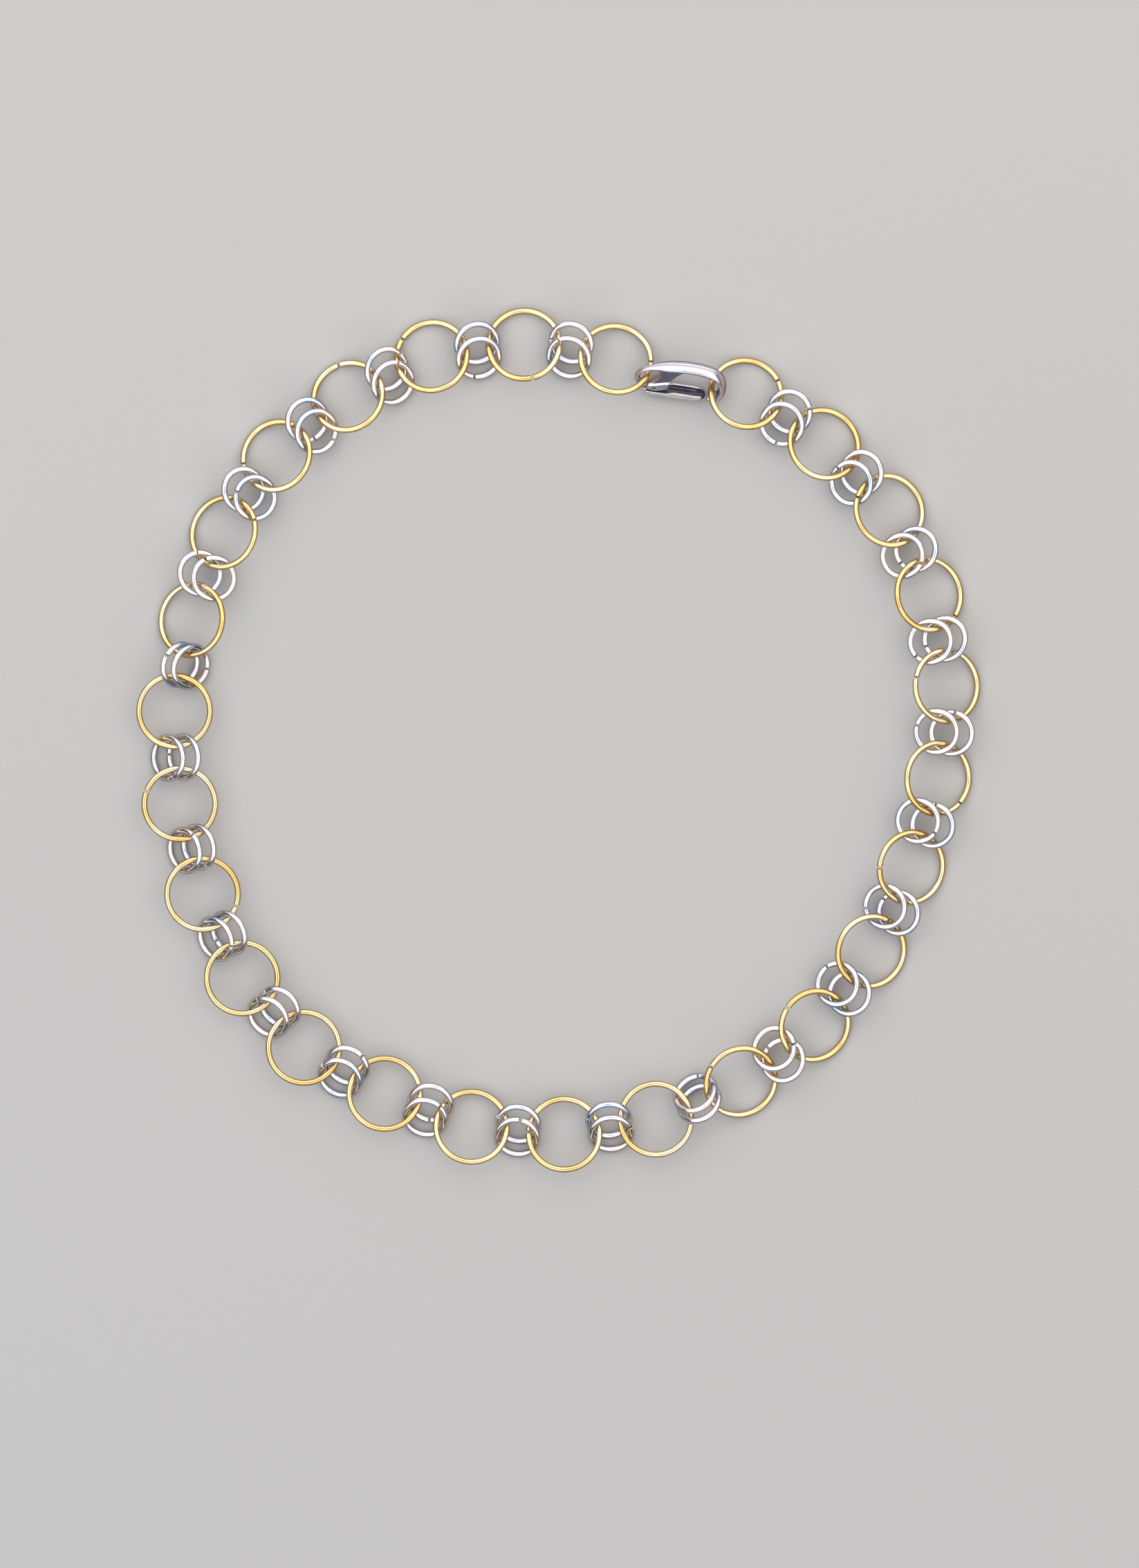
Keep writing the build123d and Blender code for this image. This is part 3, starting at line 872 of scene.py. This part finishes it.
@dataclass
class ClaspBody(CastPart):
    """Eye, web, back and hook in one casting, with the line that its mould left along the middle and
    painted shade on the web and flanks.

    Attributes:
        seam_width: Half width of the line, in millimetres.
        seam_depth: Depth of the line, in millimetres.
        seam_fade: Length over which it fades out at its ends, in millimetres.
        web_face: Distance of the web's faces from the clasp's plane, in millimetres.
        web_reach: How far off that distance the web's painted shade still goes, in millimetres.
        web_turn: How squarely a face looks along the thickness where the web's painted shade begins
            and is full.
        flank_shade: Share of that painted shade on the flanks of the back.
        flank_turn: How squarely a face looks along the thickness where the flanks' painted shade begins
            and is full.
        flank_fade: Share of half the casting's length over which the flanks' painted shade fades at its
            ends.
    """

    seam_width: float = 0.13
    seam_depth: float = 0.075
    seam_fade: float = 1.5
    web_face: float = 0.95
    web_reach: float = 0.08
    web_turn: tuple[float, float] = (0.6, 0.9)
    flank_shade: float = 0.4
    flank_turn: tuple[float, float] = (0.25, 0.7)
    flank_fade: float = 0.6

    def carve(self, mesh: bpy.types.Mesh) -> None:
        """Presses the mould's line into the outer side and paints shade on the web and the flanks.

        Args:
            mesh: The part's mesh in the clasp's own plane, in millimetres.
        """
        place, facing = self.surface(mesh)
        middle = (place.max(axis=0) + place.min(axis=0)) / 2
        reach = (place.max(axis=0) - place.min(axis=0)) / 2
        # Painted shade: the web's faces and the flanks of the back get a darker colour by how squarely
        # they face along the thickness
        thickness = abs(facing[:, 2])
        off_face = abs(abs(place[:, 2]) - self.web_face)
        on_face = np.interp(off_face, (self.web_reach / 2, self.web_reach), FALLING)
        shaded_web = on_face * np.interp(thickness, self.web_turn, RISING)
        off_middle = abs(place[:, 0] - middle[0]) / reach[0]
        painted_shade_share = np.interp(off_middle, (1 - self.flank_fade, 1.0), FALLING)
        shaded_flanks = self.flank_shade * painted_shade_share * np.interp(thickness, self.flank_turn, RISING)
        self.paint_shade(mesh, np.maximum(shaded_web, shaded_flanks))
        outwards = ((place - middle)[:, :2] * facing[:, :2]).sum(axis=1) > 0
        upper = np.clip((place[:, 1] - middle[1]) / self.seam_fade, 0.0, 1.0)
        depth = self.seam_depth * np.exp(-(place[:, 2] / self.seam_width) ** 2) * outwards * upper
        mesh.vertices.foreach_set("co", (place - facing * depth[:, None]).ravel())
        mesh.update()


@dataclass
class Lever(CastPart):
    """Pressed trough whose inside gets painted shade, darker than its outside.

    Attributes:
        trough: Half width of the trough, in millimetres.
        trough_start: Where the trough begins beside the pin, along the lever, in millimetres.
        trough_fade: Width over which the painted shade fades in, in millimetres.
        trough_turn: How far a face of the trough may look down, as a share of straight down.
    """

    trough: float = 0.98
    trough_start: float = -0.9
    trough_fade: float = 0.1
    trough_turn: float = 0.3

    def carve(self, mesh: bpy.types.Mesh) -> None:
        """Paints shade on the inside of the trough.

        Args:
            mesh: The part's mesh in the clasp's own plane, in millimetres.
        """
        place, facing = self.surface(mesh)
        # Painted shade: the inside of the trough gets a dark colour
        across = np.clip((self.trough - abs(place[:, 2])) / self.trough_fade, 0.0, 1.0)
        along = np.clip((place[:, 0] - self.trough_start) / self.trough_fade, 0.0, 1.0)
        self.paint_shade(mesh, across * along * (facing[:, 1] > -self.trough_turn))


@dataclass
class Rivet:
    """Pin with a domed head at each end, along the hinge's axis.

    Attributes:
        node: CAD node that it replaces.
        finish: Its finish.
        dome: Height of each dome.
        rings: Rings of each dome.
        sides: Sides of its section.
    """

    node: str = "clasp_pin"
    finish: MetalFinish = PEENED_RIVET
    dome: float = 0.045 * MM
    rings: int = 6
    sides: int = 40

    def build(self, plane: ClaspPlane) -> None:
        """Builds the rivet and takes the CAD node's place.

        Args:
            plane: The clasp's own plane.
        """
        inverse = plane.matrix.inverted()
        local = [inverse @ vertex.co for vertex in frame["nodes"][self.node].data.vertices]
        half = max(abs(point.z) for point in local)
        radius = max(math.hypot(point.x, point.y) for point in local)
        shaft = half - self.dome
        outline = [(0.0, -half)]
        for step in range(1, self.rings + 1):
            swing = QUARTER_TURN * step / self.rings
            outline.append((radius * math.sin(swing), -shaft - self.dome * math.cos(swing)))
        outline += [(across, -along) for across, along in reversed(outline)]
        mesh = bmesh.new()
        line = [mesh.verts.new((across, 0.0, along)) for across, along in outline]
        edges = [mesh.edges.new(pair) for pair in zip(line, line[1:])]
        bmesh.ops.spin(
            mesh, geom=line + edges, axis=(0, 0, 1), cent=(0, 0, 0), angle=math.tau, steps=self.sides,
        )
        bmesh.ops.remove_doubles(mesh, verts=mesh.verts, dist=WELD)
        bmesh.ops.recalc_face_normals(mesh, faces=mesh.faces)
        data = bpy.data.meshes.new(self.node + "_rivet")
        mesh.to_mesh(data)
        mesh.free()
        data.transform(plane.matrix)
        data.materials.append(self.finish.material())
        data.shade_smooth()
        made = bpy.data.objects.new(self.node + "_rivet", data)
        bpy.context.scene.collection.objects.link(made)
        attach(made, NECKLACE)
        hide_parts(self.node)
        LOG.info("%s: %d faces", made.name, len(data.polygons))


@dataclass
class Clasp:
    """Lobster-claw clasp.

    Attributes:
        casting: Its eye, web, back and hook.
        lever: Its lever, which closes the hook.
        rivet: The rivet that the lever turns on.
    """

    casting: ClaspBody = field(
        default_factory=lambda: ClaspBody("clasp_body", NECKLACE, CAST_CLASP, Slot.CLASP)
    )
    lever: Lever = field(
        default_factory=lambda: Lever("clasp_lever", LEVER, PRESSED_LEVER, Slot.LEVER, voxel=0.045 * MM)
    )
    rivet: Rivet = field(default_factory=Rivet)

    def build(self) -> None:
        """Builds the three pieces."""
        hinge = next(joint for joint in frame["joints"] if joint["child"] == LEVER)
        plane = ClaspPlane.of(hinge)
        self.casting.build(plane)
        self.lever.build(plane)
        self.rivet.build(plane)


@dataclass(frozen=True)
class LightPanel:
    """One side of the light tent.

    Attributes:
        name: Its name.
        share: Its brightness against the tent's.
        colour: Its colour.
    """

    name: str
    share: float
    colour: str


@dataclass(frozen=True)
class LightTent:
    """Four soft panels round a square gap over the necklace, through which the camera looks, and a wall.

    The gap shows in each wire as the fine darker line between two bright ones. The wall stands at the
    far side and lights the clasp's back and the far rims.

    Attributes:
        height: Height of the panels.
        gap: Side of the gap.
        width: Side of the whole tent.
        brightness: Radiance of a panel, in watts per square metre and steradian.
        panels: The four sides, clockwise from the far one.
        wall: The standing panel.
        wall_size: Its width and height.
        wall_distance: How far it stands behind the necklace's middle.
    """

    height: float = 0.62
    gap: float = 0.22
    width: float = 2.2
    brightness: float = 1.95
    panels: tuple[LightPanel, ...] = (
        LightPanel("far_panel", 1.1, "#FFFFFF"), LightPanel("right_panel", 1.0, "#FFF8F1"),
        LightPanel("near_panel", 0.85, "#F9F6FF"), LightPanel("left_panel", 1.0, "#F3F7FF"),
    )
    wall: LightPanel = LightPanel("far_wall", 0.6, "#EDE6FF")
    wall_size: tuple[float, float] = (2.4, 0.6)
    wall_distance: float = 1.0

    def build(self) -> None:
        """Adds the wall and the panels, each of which starts where the last one ends."""
        length, depth = (self.width + self.gap) / 2, (self.width - self.gap) / 2
        overhead = Matrix.Translation((-depth / 2, length / 2, self.height))
        for quarter, panel in enumerate(self.panels):
            turned = Matrix.Rotation(-quarter * QUARTER_TURN, MATRIX_SIZE, "Z")
            self.hang(panel, (length, depth), turned @ overhead)
        upright = Matrix.Rotation(-QUARTER_TURN, MATRIX_SIZE, "X")
        behind = Matrix.Translation((0.0, self.wall_distance, self.wall_size[1] / 2))
        self.hang(self.wall, self.wall_size, behind @ upright)

    def hang(self, panel: LightPanel, size: tuple[float, float], place: Matrix) -> None:
        """Adds one panel.

        Args:
            panel: The panel.
            size: Its two sides.
            place: Its place, with the light going down its Z.
        """
        data = bpy.data.lights.new(panel.name, "AREA")
        data.shape = "RECTANGLE"
        data.size, data.size_y = size
        # An even panel sends out pi times its radiance from each square metre
        data.energy = panel.share * self.brightness * math.pi * size[0] * size[1]
        data.color = linear(panel.colour)[:3]
        made = bpy.data.objects.new(panel.name, data)
        bpy.context.scene.collection.objects.link(made)
        made.matrix_world = place
        made.visible_camera = False


@dataclass
class Studio:
    """Pale floor, soft lights and the camera of the photo.

    Attributes:
        photo: Width and height of the photo, in pixels.
        pixel: What one pixel of it shows on the floor.
        middle: Pixel of the photo that the middle of the necklace's box lies on.
        lens: Focal length of the camera, in millimetres.
        sensor: Long side of its sensor, in millimetres.
        floor_size: Side of the floor.
        floor_drop: How far the floor lies under the necklace, so that the two don't share a plane.
        sky: Colour of the room.
        sky_strength: Brightness of the room.
        finish: Finish of the floor.
        tent: Lights round the necklace.
    """

    photo: tuple[int, int] = (1647, 2268)
    pixel: float = 0.1185 * MM
    middle: tuple[float, float] = (807.6, 1070.1)
    lens: float = 200.0
    sensor: float = 36.0
    floor_size: float = 12.0
    floor_drop: float = 0.02 * MM
    sky: str = "#C8CCD2"
    sky_strength: float = 0.18
    finish: FloorFinish = FloorFinish()
    tent: LightTent = LightTent()

    def build(self) -> None:
        """Builds the floor, the room, the lights and the camera."""
        self.floor()
        self.room()
        self.tent.build()
        self.camera()

    def floor(self) -> None:
        """Adds the floor."""
        half = self.floor_size / 2
        mesh = bpy.data.meshes.new("floor")
        corners = [(-half, -half), (half, -half), (half, half), (-half, half)]
        mesh.from_pydata([(x, y, -self.floor_drop) for x, y in corners], [], [(0, 1, 2, 3)])
        mesh.materials.append(self.finish.material())
        made = bpy.data.objects.new("floor", mesh)
        bpy.context.scene.collection.objects.link(made)

    def room(self) -> None:
        """Sets the room's even light, and shows all colours as they are."""
        world = bpy.data.worlds.new("room")
        world.use_nodes = True
        tree = world.node_tree
        tree.nodes.clear()
        light = add_node(tree, "ShaderNodeBackground", {}, {
            "Color": linear(self.sky), "Strength": self.sky_strength,
        })
        add_node(tree, "ShaderNodeOutputWorld", {}, {"Surface": light.outputs["Background"]})
        bpy.context.scene.world = world
        bpy.context.scene.view_settings.view_transform = "Standard"

    def camera(self) -> None:
        """Adds the camera straight above the necklace, framed as the photo is."""
        data = bpy.data.cameras.new("camera")
        data.lens = self.lens
        data.sensor_width = self.sensor
        width, height = self.photo
        distance = height * self.pixel * self.lens / self.sensor
        across = (width / 2 - self.middle[0]) * self.pixel
        along = (self.middle[1] - height / 2) * self.pixel
        made = bpy.data.objects.new("camera", data)
        bpy.context.scene.collection.objects.link(made)
        made.location = (across, along, distance)
        bpy.context.scene.camera = made


def main() -> None:
    """Builds the necklace and its studio."""
    logging.basicConfig(level=logging.INFO, format="%(name)s: %(message)s")
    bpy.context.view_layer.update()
    Chain().build()
    Clasp().build()
    Studio().build()
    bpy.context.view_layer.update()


if __name__ == "__main__":
    main()
